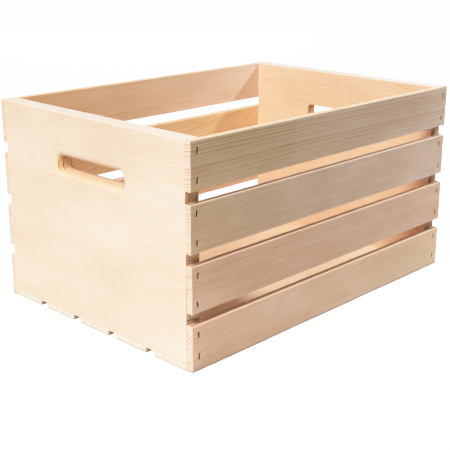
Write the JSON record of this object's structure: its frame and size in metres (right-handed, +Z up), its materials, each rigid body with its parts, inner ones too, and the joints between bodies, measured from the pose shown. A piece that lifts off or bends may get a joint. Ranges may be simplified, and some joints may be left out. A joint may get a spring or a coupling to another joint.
{
  "type": "wooden crate",
  "caption": "Open-topped slatted wooden apple crate with solid end boards, each with a slot-shaped hand-hole, and spaced slats stapled along the sides and underneath.",
  "frame": {"origin": "on the ground under the middle of the crate", "axes": "+X along the length towards the right end board, +Z up; the front long side faces -Y"},
  "size_m": [0.4572, 0.3174, 0.2413],
  "materials": {
    "end_board_pine": "smooth unfinished pine, pale cream",
    "side_slat_pine": "planed unfinished pine with fine straight grain",
    "floor_slat_pine": "planed unfinished pine",
    "staple_wire": "dull galvanised wire"
  },
  "bodies": {
    "root": {"left_end_board": "end_board_pine", "right_end_board": "end_board_pine", "front_slat_1": "side_slat_pine", "front_slat_2": "side_slat_pine", "front_slat_3": "side_slat_pine", "front_slat_4": "side_slat_pine", "back_slat_1": "side_slat_pine", "back_slat_2": "side_slat_pine", "back_slat_3": "side_slat_pine", "back_slat_4": "side_slat_pine", "floor_slat_1": "floor_slat_pine", "floor_slat_2": "floor_slat_pine", "floor_slat_3": "floor_slat_pine", "floor_slat_4": "floor_slat_pine", "floor_slat_5": "floor_slat_pine", "front_slat_1_staples": "staple_wire", "front_slat_2_staples": "staple_wire", "front_slat_3_staples": "staple_wire", "front_slat_4_staples": "staple_wire", "back_slat_1_staples": "staple_wire", "back_slat_2_staples": "staple_wire", "back_slat_3_staples": "staple_wire", "back_slat_4_staples": "staple_wire", "floor_slat_1_staples": "staple_wire", "floor_slat_2_staples": "staple_wire", "floor_slat_3_staples": "staple_wire", "floor_slat_4_staples": "staple_wire", "floor_slat_5_staples": "staple_wire"}
  },
  "joints": []
}
